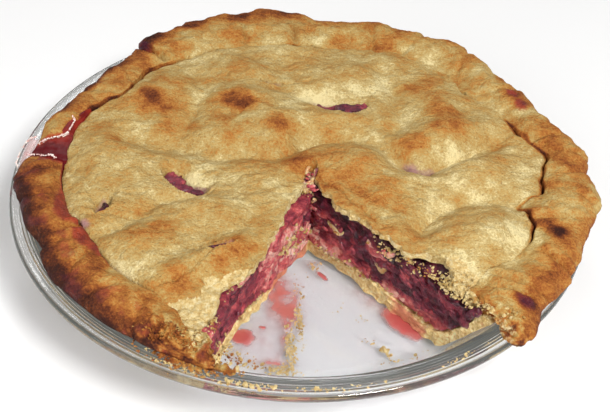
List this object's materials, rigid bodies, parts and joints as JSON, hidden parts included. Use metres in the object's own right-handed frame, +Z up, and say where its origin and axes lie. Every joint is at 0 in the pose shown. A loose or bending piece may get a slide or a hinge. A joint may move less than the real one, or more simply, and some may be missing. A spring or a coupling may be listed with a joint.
{
  "type": "rhubarb pie in a glass pie dish",
  "caption": "Round double-crust fruit pie in a clear glass dish, with rolled rim, steam vents and a missing wedge that shows the filling.",
  "frame": {"origin": "centre of the glass dish's flat underside", "axes": "+Z up through the lid; the open wedge faces -Y, a little to +X; +X to the right as seen from the wedge side"},
  "size_m": [0.243, 0.2401, 0.0507],
  "materials": {
    "clear_glass": "clear, polished",
    "baked_rim": "matt, browned",
    "stewed_rhubarb": "wet",
    "baked_lid": "matt, pale golden",
    "set_juice": "glossy, translucent"
  },
  "bodies": {
    "root": {"glass_dish": "clear_glass", "bottom_crust": "baked_rim", "filling": "stewed_rhubarb", "top_crust": "baked_lid", "leaked_juice": "set_juice"}
  },
  "joints": []
}
